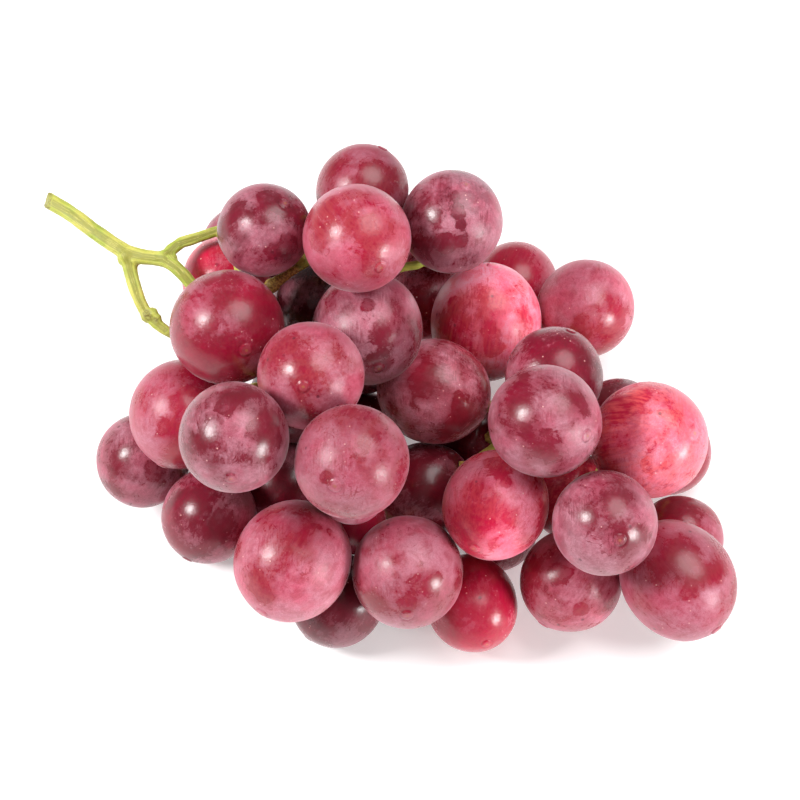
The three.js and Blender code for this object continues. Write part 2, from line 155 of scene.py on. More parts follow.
class Wires:        # short ways to add the nodes that the finishes are made of
    def __init__(self, tree):
        self.tree = tree

    def put(self, socket, value):
        if isinstance(value, bpy.types.NodeSocket):
            self.tree.links.new(value, socket)
        elif value is not None:
            socket.default_value = value

    def math(self, operation, a, b=None, c=None, clamp=False):
        node = self.tree.nodes.new("ShaderNodeMath")
        node.operation = operation
        node.use_clamp = clamp
        for socket, value in zip(node.inputs, (a, b, c)):
            self.put(socket, value)
        return node.outputs[0]

    def vector(self, operation, a, b):
        node = self.tree.nodes.new("ShaderNodeVectorMath")
        node.operation = operation
        self.put(node.inputs[0], a)
        self.put(node.inputs[1], b)
        return node.outputs["Value" if operation == "DISTANCE" else "Vector"]

    def scaled(self, vector, share):
        node = self.tree.nodes.new("ShaderNodeVectorMath")
        node.operation = "SCALE"
        self.put(node.inputs[0], vector)
        self.put(node.inputs["Scale"], share)
        return node.outputs["Vector"]

    def noise(self, place, scale, detail=3.0, roughness=0.55, distortion=0.0):
        node = self.tree.nodes.new("ShaderNodeTexNoise")
        self.put(node.inputs["Vector"], place)
        self.put(node.inputs["Scale"], scale)
        node.inputs["Detail"].default_value = detail
        node.inputs["Roughness"].default_value = roughness
        node.inputs["Distortion"].default_value = distortion
        return node.outputs["Fac"]

    def dots(self, place, scale):
        node = self.tree.nodes.new("ShaderNodeTexVoronoi")
        self.put(node.inputs["Vector"], place)
        node.inputs["Scale"].default_value = scale
        return node.outputs

    def ramp(self, value, low, high, toLow=0.0, toHigh=1.0):      # a soft step between low and high
        node = self.tree.nodes.new("ShaderNodeMapRange")
        node.interpolation_type = "SMOOTHSTEP"
        for socket, given in zip(node.inputs, (value, low, high, toLow, toHigh)):
            self.put(socket, given)
        return node.outputs[0]

    def mix(self, share, first, second):
        node = self.tree.nodes.new("ShaderNodeMix")
        node.data_type = "RGBA"
        self.put(node.inputs["Factor"], share)
        self.put(node.inputs["A"], first)
        self.put(node.inputs["B"], second)
        return node.outputs["Result"]

    def group(self, group, **values):
        node = self.tree.nodes.new("ShaderNodeGroup")
        node.node_tree = group
        for label, value in values.items():
            self.put(node.inputs[label], value)
        return node.outputs

    def attribute(self, name):
        node = self.tree.nodes.new("ShaderNodeAttribute")
        node.attribute_name = name
        return node.outputs

    def stretch(self, place, scale, turn=(0, 0, 0), shift=(0, 0, 0)):
        node = self.tree.nodes.new("ShaderNodeMapping")
        self.put(node.inputs["Vector"], place)
        node.inputs["Scale"].default_value = scale
        node.inputs["Rotation"].default_value = turn
        node.inputs["Location"].default_value = shift
        return node.outputs[0]

    def bump(self, height):       # heights in tenths of a millimetre
        node = self.tree.nodes.new("ShaderNodeBump")
        node.inputs["Strength"].default_value = 1.0
        node.inputs["Distance"].default_value = 0.1 * mm
        self.put(node.inputs["Height"], height)
        return node.outputs[0]


waxPattern = {      # each noise is its scale, detail, roughness and distortion
    "clouds": (80, 2.0, 0.5, 0.4), "cloudShare": 2.5,
    "ragged": (300, 8.0, 0.66, 0.6), "raggedShare": 1.0,
    "mottle": (1000, 5.0, 0.7, 0.3), "mottleShare": 0.7,
    "meridians": (1.5, 5.0, 0.65), "meridianStretch": (10, 10, 1.2), "meridianShare": 0.7,
    "grain": (3200, 2.0, 0.6), "grainEdge": (0.3, 0.62, 0.72, 1.05),
    "thinToThick": (0.13, 1.1),
    "raggedEdge": 1.25, "mottledEdge": 0.25,        # how uneven the outline of a rub is
    "softPlaces": (140, 1.0, 0.5), "softness": (0.42, 0.6, 0.5, 1.15),
    "veil": (280, 5.0, 0.65), "veilEdge": (0.36, 0.56, 0.78, 1.0),
    "wornEdge": (0.53, 0.64), "wornDepth": 0.55, "rubDepth": 0.94, "rubStart": 0.36,
    "strokeStretch": (2400, 240, 500), "strokeTurn": (0.4, 0.7, 0.9), "strokeDepth": 0.5,
    "strokePlaces": (115, 1.0, 0.5), "strokeEdge": (0.55, 0.62),
    "winding": (190, 3.0, 0.55, 0.8), "scratchWidth": (0.016, 0.005), "scratchDepth": 0.75,
    "scratchPlaces": (210, 1.0, 0.5), "scratchEdge": (0.57, 0.62),
    "grey": (95, 4.0, 0.62), "greyEdge": (0.36, 0.6),
}


def makeBloomGroup(look):       # the pale wax: clouds of it, worn through in ragged patches and strokes
    group, given, out = newGroup(
        "waxBloom",
        [("Place", "Vector", None), ("Skin", "Vector", None), ("Amount", "Float", 0.5),
         ("Rubbed", "Float", 0.0)],
        [("Bloom", "Float"), ("Grey", "Float")],
    )
    w = Wires(group)
    place = given["Place"]
    clouds = w.noise(place, *look["clouds"])
    ragged = w.noise(place, *look["ragged"])
    mottle = w.noise(place, *look["mottle"])
    grain = w.noise(place, *look["grain"])
    meridians = w.noise(w.stretch(given["Skin"], look["meridianStretch"]), *look["meridians"])
    # how thick the wax lies before it is touched
    thick = given["Amount"]
    for layer, share in (
        (clouds, look["cloudShare"]), (ragged, look["raggedShare"]), (mottle, look["mottleShare"]),
        (meridians, look["meridianShare"]),
    ):
        thick = w.math("MULTIPLY_ADD", w.math("SUBTRACT", layer, 0.5), share, thick)
    thick = w.ramp(thick, *look["thinToThick"])
    # where fingers and neighbours took it off, sharply in some places and softly in others
    edge = w.math("MULTIPLY_ADD", w.math("SUBTRACT", ragged, 0.5), look["raggedEdge"], given["Rubbed"])
    edge = w.math("MULTIPLY_ADD", w.math("SUBTRACT", mottle, 0.5), look["mottledEdge"], edge)
    softness = w.ramp(w.noise(place, *look["softPlaces"]), *look["softness"])
    bare = w.ramp(edge, look["rubStart"], softness)
    bare = w.math("MULTIPLY", bare, w.ramp(w.noise(place, *look["veil"]), *look["veilEdge"]))
    worn = w.math("MULTIPLY_ADD", ragged, 0.5, w.math("MULTIPLY", clouds, 0.5))
    worn = w.ramp(worn, *look["wornEdge"])
    bare = w.math("MAXIMUM", bare, w.math("MULTIPLY", worn, look["wornDepth"]))
    # combed strokes, and thin hooked scratches
    strokes = w.noise(w.stretch(place, look["strokeStretch"], look["strokeTurn"]), 1.0, 2.0, 0.5)
    strokeArea = w.ramp(w.noise(place, *look["strokePlaces"]), *look["strokeEdge"])
    stroke = w.math("MULTIPLY", w.ramp(strokes, 0.5, 0.6), strokeArea)
    bare = w.math("MAXIMUM", bare, w.math("MULTIPLY", stroke, look["strokeDepth"]))
    winding = w.math("ABSOLUTE", w.math("SUBTRACT", w.noise(place, *look["winding"]), 0.5))
    scratchArea = w.ramp(w.noise(place, *look["scratchPlaces"]), *look["scratchEdge"])
    scratch = w.math("MULTIPLY", w.ramp(winding, *look["scratchWidth"]), scratchArea)
    bare = w.math("MAXIMUM", bare, w.math("MULTIPLY", scratch, look["scratchDepth"]))
    left = w.math("MULTIPLY", thick, w.math("SUBTRACT", 1.0, w.math("MULTIPLY", bare, look["rubDepth"])))
    w.put(out["Bloom"], w.math("MULTIPLY", left, w.ramp(grain, *look["grainEdge"])))
    w.put(out["Grey"], w.ramp(w.noise(place, *look["grey"]), *look["greyEdge"]))
    return group


markPattern = {     # scales of the scattered marks, and the outer and inner edge of each
    "specks": 620, "speckEdge": (0.16, 0.06), "speckChance": (0.5, 0.62),
    "speckPlaces": (150, 1.0, 0.5), "speckCrowd": (0.48, 0.6),
    "pricks": 210, "prickEdge": (0.13, 0.05), "prickChance": (0.62, 0.7),
    "tip": (0.0, 0.0, -1.0), "wobble": (900, 2.0), "wobbleShare": 0.05,
    "scarEdge": (0.065, 0.045), "haloEdge": (0.12, 0.095),
    "speckHeight": 0.2, "prickDepth": 0.3,
}


def makeMarksGroup(look):       # pale breathing spots, darker pricks, and the scar at the tip
    group, given, out = newGroup(
        "skinMarks",
        [("Place", "Vector", None), ("Skin", "Vector", None)],
        [("Pale", "Float"), ("Dark", "Float"), ("Scar", "Float"), ("Halo", "Float"), ("Height", "Float")],
    )
    w = Wires(group)
    place = given["Place"]
    specks = w.dots(place, look["specks"])
    chosen = w.ramp(specks["Color"], *look["speckChance"])
    near = w.ramp(w.noise(place, *look["speckPlaces"]), *look["speckCrowd"])
    pale = w.ramp(specks["Distance"], *look["speckEdge"])
    pale = w.math("MULTIPLY", pale, w.math("MULTIPLY", chosen, near))
    pricks = w.dots(place, look["pricks"])
    rare = w.ramp(pricks["Color"], *look["prickChance"])
    dark = w.math("MULTIPLY", w.ramp(pricks["Distance"], *look["prickEdge"]), rare)
    # the tip is at the bottom of the skin's own coordinates
    fromTip = w.vector("DISTANCE", given["Skin"], look["tip"])
    wobble = w.math("MULTIPLY_ADD", w.noise(place, *look["wobble"]), look["wobbleShare"], fromTip)
    scar = w.ramp(wobble, *look["scarEdge"])
    halo = w.math("MULTIPLY", w.ramp(wobble, *look["haloEdge"]), w.math("SUBTRACT", 1.0, scar))
    sunk = w.math("MULTIPLY", dark, look["prickDepth"])
    w.put(out["Pale"], pale)
    w.put(out["Dark"], dark)
    w.put(out["Scar"], scar)
    w.put(out["Halo"], halo)
    w.put(out["Height"], w.math("SUBTRACT", w.math("MULTIPLY", pale, look["speckHeight"]), sunk))
    return group


fleshPattern = {
    "patches": (110, 3.0, 0.6, 0.8), "patchShare": 1.5,
    "veins": (1.6, 3.0, 0.6), "veinStretch": (11, 11, 1.1), "veinShift": (3, 0, 0), "veinShare": 0.45,
    "speckle": (1500, 3.0, 0.7), "speckleShare": 0.35,
    "darker": 0.16, "coralEdge": (0.8, 1.2, 0.0, 0.8),
}


def makeFleshGroup(look):       # the coloured skin under the wax, with the flesh glowing through it
    group, given, out = newGroup(
        "skinFlesh",
        [("Place", "Vector", None), ("Skin", "Vector", None), ("Dark", "Float", 0.3), ("Warm", "Float", 0.2),
         ("Bright Red", "Color", None), ("Deep Red", "Color", None), ("Coral", "Color", None)],
        [("Color", "Color")],
    )
    w = Wires(group)
    patchy = w.noise(given["Place"], *look["patches"])
    veins = w.noise(w.stretch(given["Skin"], look["veinStretch"], shift=look["veinShift"]), *look["veins"])
    speckle = w.noise(given["Place"], *look["speckle"])
    depth = w.math("ADD", given["Dark"], look["darker"])
    depth = w.math("MULTIPLY_ADD", w.math("SUBTRACT", patchy, 0.5), look["patchShare"], depth)
    depth = w.math("MULTIPLY_ADD", w.math("SUBTRACT", veins, 0.5), look["veinShare"], depth)
    depth = w.math("MULTIPLY_ADD", w.math("SUBTRACT", speckle, 0.5), look["speckleShare"], depth, clamp=True)
    tone = w.mix(depth, given["Bright Red"], given["Deep Red"])
    coral = w.ramp(w.math("ADD", patchy, veins), *look["coralEdge"])
    w.put(out["Color"], w.mix(w.math("MULTIPLY", given["Warm"], coral), tone, given["Coral"]))
    return group


bloomGroup = makeBloomGroup(waxPattern)
marksGroup = makeMarksGroup(markPattern)
fleshGroup = makeFleshGroup(fleshPattern)
print("shared node groups ready")


# ---- finishes

def newFinish(name):
    finish = bpy.data.materials.new(name)
    finish.use_nodes = True
    tree = finish.node_tree
    tree.nodes.clear()
    shader = tree.nodes.new("ShaderNodeBsdfPrincipled")
    output = tree.nodes.new("ShaderNodeOutputMaterial")
    tree.links.new(shader.outputs["BSDF"], output.inputs["Surface"])
    place = tree.nodes.new("ShaderNodeTexCoord").outputs["Object"]
    return finish, Wires(tree), shader, place


skinFinishes = {
    "skin_crimson": {
        "bright": (0.35, 0.003, 0.030, 1), "deep": (0.10, 0.002, 0.010, 1), "coral": (0.60, 0.075, 0.085, 1),
        "wax": (0.56, 0.12, 0.195, 1), "greyWax": (0.55, 0.21, 0.285, 1), "waxShare": 0.84,
    },
    "skin_pink": {
        "bright": (0.34, 0.004, 0.030, 1), "deep": (0.11, 0.002, 0.011, 1), "coral": (0.64, 0.10, 0.10, 1),
        "wax": (0.60, 0.13, 0.205, 1), "greyWax": (0.59, 0.225, 0.30, 1), "waxShare": 0.85,
    },
    "skin_plum": {
        "bright": (0.23, 0.004, 0.023, 1), "deep": (0.065, 0.002, 0.008, 1), "coral": (0.40, 0.05, 0.06, 1),
        "wax": (0.47, 0.115, 0.175, 1), "greyWax": (0.50, 0.215, 0.275, 1), "waxShare": 0.87,
    },
    "skin_dark": {
        "bright": (0.18, 0.006, 0.017, 1), "deep": (0.05, 0.002, 0.006, 1), "coral": (0.36, 0.04, 0.04, 1),
        "wax": (0.39, 0.105, 0.15, 1), "greyWax": (0.42, 0.185, 0.235, 1), "waxShare": 0.81,
    },
}
# Cap on the painted light that each grape's lightness adds to its colour.
palestSkin = (0.86, 0.70, 0.70)      # no skin gets paler than this, however light the grape is made
skinMarkColours = {     # how strongly each mark shows, and its colour
    "Pale": (0.7, (0.80, 0.42, 0.40, 1)),
    "Dark": (0.75, (0.10, 0.008, 0.02, 1)),
    "Halo": (0.12, (0.62, 0.22, 0.24, 1)),
    "Scar": (0.5, (0.42, 0.17, 0.08, 1)),
}
skinSurface = {     # heights are in tenths of a millimetre
    "bareToWaxed": (0.0, 0.8, 0.26, 0.44),      # roughness, from bare skin to thick wax
    "pebble": (1500, 3.0, 0.6), "pebbleHeight": 0.34,
    "swell": (330, 2.0, 0.5), "swellHeight": 0.5,
    "waxHeight": 0.10,
}
skinSettings = {
    "IOR": 1.45,
    "Subsurface Weight": 0.3,
    "Subsurface Radius": (1.0, 0.25, 0.3),
    "Subsurface Scale": 2.2 * mm,
    "Sheen Weight": 0.2,
    "Sheen Roughness": 0.3,
    "Sheen Tint": (1.0, 0.85, 0.9, 1),
}


def makeSkinFinish(name, look):
    finish, w, shader, place = newFinish(name)
    tone = w.tree.nodes.new("ShaderNodeSeparateColor")
    toneAndPaintedLight = w.attribute("toneAndPaintedLight")
    w.put(tone.inputs[0], toneAndPaintedLight["Color"])
    skin = w.attribute("skinPlace")["Vector"]
    rubbed = w.attribute("rubbed")["Fac"]
    wax = w.group(bloomGroup, Place=place, Skin=skin, Amount=tone.outputs["Green"], Rubbed=rubbed)
    marks = w.group(marksGroup, Place=place, Skin=skin)
    flesh = w.group(fleshGroup, **{
        "Place": place, "Skin": skin, "Dark": tone.outputs["Red"], "Warm": tone.outputs["Blue"],
        "Bright Red": look["bright"], "Deep Red": look["deep"], "Coral": look["coral"],
    })["Color"]
    powder = w.mix(wax["Grey"], look["wax"], look["greyWax"])
    colour = w.mix(w.math("MULTIPLY", wax["Bloom"], look["waxShare"]), flesh, powder)
    for mark, (share, paint) in skinMarkColours.items():
        colour = w.mix(w.math("MULTIPLY", marks[mark], share), colour, paint)
    # Painted light: the colour is scaled by the grape's lightness, raised on grapes in shade and on grapes
    # glowing from behind, lowered on strongly lit ones.
    lit = w.vector("MINIMUM", w.scaled(colour, toneAndPaintedLight["Alpha"]), palestSkin)
    w.put(shader.inputs["Base Color"], lit)
    w.put(shader.inputs["Roughness"], w.ramp(wax["Bloom"], *skinSurface["bareToWaxed"]))
    for label, value in skinSettings.items():
        shader.inputs[label].default_value = value
    height = w.math("MULTIPLY", w.noise(place, *skinSurface["swell"]), skinSurface["swellHeight"])
    pebble = w.noise(place, *skinSurface["pebble"])
    height = w.math("MULTIPLY_ADD", pebble, skinSurface["pebbleHeight"], height)
    waxed = w.math("MULTIPLY_ADD", wax["Bloom"], skinSurface["waxHeight"], marks["Height"])
    w.put(shader.inputs["Normal"], w.bump(w.math("ADD", height, waxed)))
    return finish


skins = {name: makeSkinFinish(name, look) for name, look in skinFinishes.items()}
print("grape skins ready:", len(skins))


# ---- the grapes

grapeShape = {
    "around": 72, "rows": 44,
    "cadDimple": 0.8 * mm,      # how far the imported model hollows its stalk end
    "dimple": (0.075, 0.36),    # depth and reach of the hollow round the stalk, in half widths
    "tipRise": (0.016, 0.30),   # the faint point at the tip
    "scarWidth": 0.05,
    "beadRise": 0.008,
    "beadDish": 0.018,
    "pole": 0.999,              # what lies beyond this along the axis is the end of the grape
    "roll": 2.399,              # radians between one grape and the next, so that no two match
    "swell": 0.12 * mm,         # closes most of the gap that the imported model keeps
    "lumps": 0.55 * mm,
    "lumpSize": 15 * mm,
}


def modelGrape(shape):      # one grape of half width 1, stalk end up, tip down
    clearPick()
    bpy.ops.mesh.primitive_uv_sphere_add(segments=shape["around"], ring_count=shape["rows"], radius=1)
    grape = bpy.context.object
    grape.name = "grapePattern"
    giveValues(grape, "skinPlace", readPoints(grape), "FLOAT_VECTOR", "vector")
    soft = {"use_proportional_edit": True, "proportional_edit_falloff": "SMOOTH"}
    depth, reach = shape["dimple"]
    editWhere(grape, lambda p: p.z > shape["pole"])
    bpy.ops.transform.translate(value=(0, 0, -depth), proportional_size=reach, **soft)
    leaveEdit()
    rise, reach = shape["tipRise"]
    editWhere(grape, lambda p: p.z < -shape["pole"])
    bpy.ops.transform.translate(value=(0, 0, -rise), proportional_size=reach, **soft)
    leaveEdit()
    # the scar: a small raised bead in a shallow dish
    editWhere(grape, lambda p: p.z < -shape["pole"], "FACE")
    bpy.ops.mesh.inset(thickness=shape["scarWidth"] * 0.4)
    bpy.ops.transform.translate(value=(0, 0, shape["beadRise"]))
    bpy.ops.mesh.inset(thickness=shape["scarWidth"] * 0.25)
    bpy.ops.transform.translate(value=(0, 0, -shape["beadDish"]))
    leaveEdit()
    bpy.ops.object.shade_smooth()
    return grape


def mergedCopy(node, name):
    mesh = frame["nodes"][node].data.copy()
    piece = bpy.data.objects.new(name, mesh)
    scene.collection.objects.link(piece)
    editWhere(piece, lambda p: True)
    bpy.ops.mesh.remove_doubles(threshold=0.002 * mm)
    leaveEdit()
    return piece


stalkPoints = KDTree(len(frame["nodes"]["stem"].data.vertices))
for number, point in enumerate(frame["nodes"]["stem"].data.vertices):
    stalkPoints.insert(point.co, number)
stalkPoints.balance()


def readGrape(node, cadDimple):     # centre, axis towards the stalk, half width and half length
    outline = mergedCopy(node, "outline")
    counts = [0] * len(outline.data.vertices)
    for face in outline.data.polygons:
        for corner in face.vertices:
            counts[corner] += 1
    poles = sorted(range(len(counts)), key=lambda corner: -counts[corner])[:2]
    ends = [outline.data.vertices[corner].co.copy() for corner in poles]
    ends.sort(key=lambda end: stalkPoints.find(end)[2])
    stalkEnd, tip = ends
    axis = (stalkEnd - tip).normalized()
    halfLength = ((stalkEnd - tip).length + cadDimple) / 2
    centre = tip + axis * halfLength
    halfWidth = 0.0
    for vertex in outline.data.vertices:
        along = (vertex.co - centre).dot(axis)
        across = ((vertex.co - centre) - axis * along).length
        if abs(along) < halfLength * 0.6:
            halfWidth = max(halfWidth, across / math.sqrt(1 - (along / halfLength) ** 2))
    bpy.data.objects.remove(outline)
    return {"centre": centre, "axis": axis, "halfWidth": halfWidth, "halfLength": halfLength}


# How each grape looks: depth of colour, amount of wax, warmth, and a lightness that is painted light (it
# raises the colour of grapes in shade and of grapes glowing from light behind them, and lowers it on strongly
# lit ones), and where the wax is rubbed off.
# A rub is right, up and size in half widths, as the grape is seen from the camera's side.
grapeLooks = {
    "grape_01": ((0.10, 0.66, 0.35, 0.95), [(0.31, 0.04, 0.34), (-0.5, 0.6, 0.24), (-0.2, 0.78, 0.22),
              (0.2, -0.62, 0.42), (-0.03, 0.22, 0.13), (-0.66, -0.12, 0.24), (0.62, 0.18, 0.12)]),
    "grape_02": ((0.25, 0.42, 0.30, 0.76), [(0.3, 0.2, 0.4), (-0.2, -0.3, 0.3)]),
    "grape_03": ((0.45, 0.50, 0.10, 1.05), [(-0.55, 0.4, 0.2), (0, 0.1, 0.14), (0.5, -0.5, 0.4),
              (-0.4, -0.2, 0.22), (0.1, 0.6, 0.25)]),
    "grape_04": ((0.05, 0.38, 0.15, 1.6), []),
    "grape_05": ((0.35, 0.36, 0.15, 0.95), [(0, 0.42, 0.3), (-0.35, 0.1, 0.25), (0.55, 0.1, 0.42),
              (0.25, -0.35, 0.32), (-0.7, -0.4, 0.2)]),
    "grape_06": ((0.08, 0.50, 0.35, 0.95), [(0.15, 0.3, 0.3), (0, -0.4, 0.42)]),
    "grape_07": ((0.35, 0.58, 0.15, 1.12), [(-0.4, 0, 0.25), (0.3, -0.3, 0.3)]),
    "grape_08": ((0.50, 0.45, 0.10, 1.28), [(-0.3, 0.3, 0.3), (0.3, -0.2, 0.34)]),
    "grape_09": ((0.45, 0.60, 0.05, 1.0), [(0.05, 0.45, 0.13), (0.1, 0.12, 0.15), (0.16, -0.12, 0.11),
              (-0.35, 0, 0.16), (-0.2, -0.62, 0.4)]),
    "grape_10": ((0.40, 0.58, 0.15, 1.0), [(0.6, 0.2, 0.42), (0, 0.62, 0.26), (-0.3, -0.5, 0.24)]),
    "grape_11": ((0.20, 0.56, 0.30, 0.86), [(-0.2, 0.12, 0.26), (-0.16, -0.24, 0.2), (-0.5, 0.5, 0.32)]),
    "grape_12": ((0.25, 0.58, 0.30, 0.72), [(0.1, 0.66, 0.42), (-0.42, -0.25, 0.13), (0.25, -0.1, 0.24)]),
    "grape_13": ((0.30, 0.74, 0.10, 1.0), [(0.34, -0.12, 0.26), (0, 0.38, 0.13), (0.5, 0.4, 0.2),
              (0.2, -0.6, 0.24)]),
    "grape_14": ((0.30, 0.55, 0.08, 2.15), [(-0.2, 0.1, 0.42), (0.4, -0.4, 0.32)]),
    "grape_15": ((0.18, 0.60, 0.30, 2.0), [(0.1, 0.24, 0.25), (0.1, -0.1, 0.24), (0.05, -0.45, 0.26),
              (-0.5, 0.3, 0.2)]),
    "grape_16": ((0.40, 0.40, 0.05, 3.0), []),
    "grape_17": ((0.05, 0.15, 0.20, 1.25), [(0, 0.2, 0.5)]),
    "grape_18": ((0.12, 0.66, 0.35, 1.1), [(0.45, 0.15, 0.26), (0.6, -0.25, 0.2), (-0.2, -0.3, 0.22)]),
    "grape_19": ((0.22, 0.66, 0.30, 1.0), [(0.22, 0.42, 0.42), (-0.5, -0.4, 0.3)]),
    "grape_20": ((0.28, 0.70, 0.25, 0.76), [(-0.22, 0.26, 0.3), (0.32, -0.1, 0.3), (0, -0.55, 0.2)]),
    "grape_21": ((0.08, 0.62, 0.40, 1.75), [(0.1, -0.1, 0.32), (0.1, 0.8, 0.36), (-0.5, -0.55, 0.45),
              (0.2, 0.45, 0.13), (0.95, 0, 0.2)]),
    "grape_22": ((0.12, 0.25, 0.20, 1.4), [(0, 0, 0.6), (0.1, -0.5, 0.4)]),
    "grape_23": ((0.45, 0.28, 0.20, 0.78), [(0, 0.35, 0.6)]),
    "grape_24": ((0.32, 0.50, 0.20, 1.05), [(0.1, -0.5, 0.16), (-0.3, 0.32, 0.32)]),
    "grape_25": ((0.70, 0.30, 0.05, 1.35), [(0.2, 0.1, 0.4)]),
    "grape_26": ((0.60, 0.25, 0.08, 1.35), []),
    "grape_27": ((0.32, 0.62, 0.20, 0.99), [(0.42, 0.3, 0.32), (-0.5, 0.35, 0.22), (-0.1, -0.5, 0.36)]),
    "grape_28": ((0.48, 0.44, 0.10, 1.2), [(0.1, 0.22, 0.32), (-0.4, -0.3, 0.3)]),
    "grape_29": ((0.32, 0.66, 0.15, 1.0), [(0.3, 0.5, 0.36), (-0.4, 0.1, 0.22), (0.5, -0.3, 0.3)]),
    "grape_30": ((0.00, 0.52, 0.75, 1.4), [(-0.4, 0.5, 0.32), (0.3, 0.4, 0.2), (0.2, -0.42, 0.36)]),
    "grape_31": ((0.22, 0.56, 0.25, 0.88), [(-0.2, 0.56, 0.46), (0.15, -0.12, 0.2), (0.5, 0.1, 0.26)]),
    "grape_32": ((0.35, 0.28, 0.15, 0.95), [(0, 0.3, 0.5)]),
    "grape_33": ((0.25, 0.20, 0.15, 1.0), []),
    "grape_34": ((0.50, 0.18, 0.15, 1.2), []),
    "grape_35": ((0.05, 0.08, 0.80, 1.0), []),
    "grape_36": ((0.60, 0.20, 0.05, 1.5), []),
    "grape_37": ((0.70, 0.35, 0.05, 1.1), []),
    "grape_38": ((0.75, 0.25, 0.05, 1.5), []),
}
cameraRight = Vector((1, 0, 0))
cameraLift = math.radians(cameraSetup["elevation"])
cameraBack = Vector((0, -math.cos(cameraLift), math.sin(cameraLift)))
cameraUp = cameraBack.cross(cameraRight)


def hiddenLook(seed):       # a plausible look for a grape that the camera doesn't see
    dice = random.Random(seed)
    tone = (dice.uniform(0.1, 0.6), dice.uniform(0.35, 0.65), dice.uniform(0.05, 0.35), 1.0)
    return tone, []


rubSettings = {
    "seed": 1000,
    "extra": 5,             # rubs on the sides that the camera doesn't see
    "sizes": (0.14, 0.36),
    "turnedAway": 0.25,     # how little an extra rub may face the camera
}


def paintRubs(piece, spot, tone, rubs, settings, seed):
    dice = random.Random(seed)
    marks = []
    for right, up, size in rubs:
        front = math.sqrt(max(0.0, 1 - right * right - up * up))
        marks.append((cameraRight * right + cameraUp * up + cameraBack * front, size))
    for extra in range(settings["extra"]):
        way = Vector([dice.gauss(0, 1) for _ in range(3)]).normalized()
        if way.dot(cameraBack) < settings["turnedAway"] or not rubs:
            marks.append((way, dice.uniform(*settings["sizes"])))
    outward = readPoints(piece) - np.array(spot["centre"])
    outward /= np.linalg.norm(outward, axis=1)[:, None]
    worn = np.zeros(len(outward))
    for way, size in marks:
        away = np.linalg.norm(outward - np.array(way.normalized()), axis=1) / size
        worn = np.maximum(worn, np.clip(1.0 - 0.5 * away, 0, 1))
    giveValues(piece, "rubbed", worn)
    # The fourth value, the lightness, is painted light that raises or lowers the grape's whole colour.
    giveValues(piece, "toneAndPaintedLight", np.tile(tone, len(outward)), "FLOAT_COLOR", "color")


lumpTexture = bpy.data.textures.new("grapeLumps", "CLOUDS")
lumpTexture.noise_scale = grapeShape["lumpSize"]
lumpTexture.noise_depth = 1
slots = {part["node"]: part["material_slot"] for part in frame["record"]["subparts"]}


def placeGrape(node, pattern, shape, number):
    spot = readGrape(node, shape["cadDimple"])
    piece = bpy.data.objects.new(node.replace("grape_", "grapeSkin"), pattern.data.copy())
    scene.collection.objects.link(piece)
    roll = Matrix.Rotation(number * shape["roll"], 4, "Z")
    turn = Vector((0, 0, 1)).rotation_difference(spot["axis"]).to_matrix().to_4x4()
    wide = spot["halfWidth"] + shape["swell"]
    size = Matrix.Diagonal((wide, wide, spot["halfLength"] + shape["swell"], 1))
    piece.data.transform(Matrix.Translation(spot["centre"]) @ turn @ roll @ size)
    useModifier(piece, "DISPLACE", texture=lumpTexture, texture_coords="GLOBAL",
                strength=shape["lumps"], mid_level=0.5)
    tone, rubs = grapeLooks.get(node) or hiddenLook(number)
    paintRubs(piece, spot, tone, rubs, rubSettings, rubSettings["seed"] + number)
    piece.data.materials.clear()
    piece.data.materials.append(skins[slots[node]])
    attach(piece, "root")
    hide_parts(node)
    return spot


grapePattern = modelGrape(grapeShape)
spots = [placeGrape(node, grapePattern, grapeShape, number) for number, node in enumerate(grapeNodes)]
bpy.data.objects.remove(grapePattern)
print("grapes placed:", len(spots))


# ---- the stalk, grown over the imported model's branches

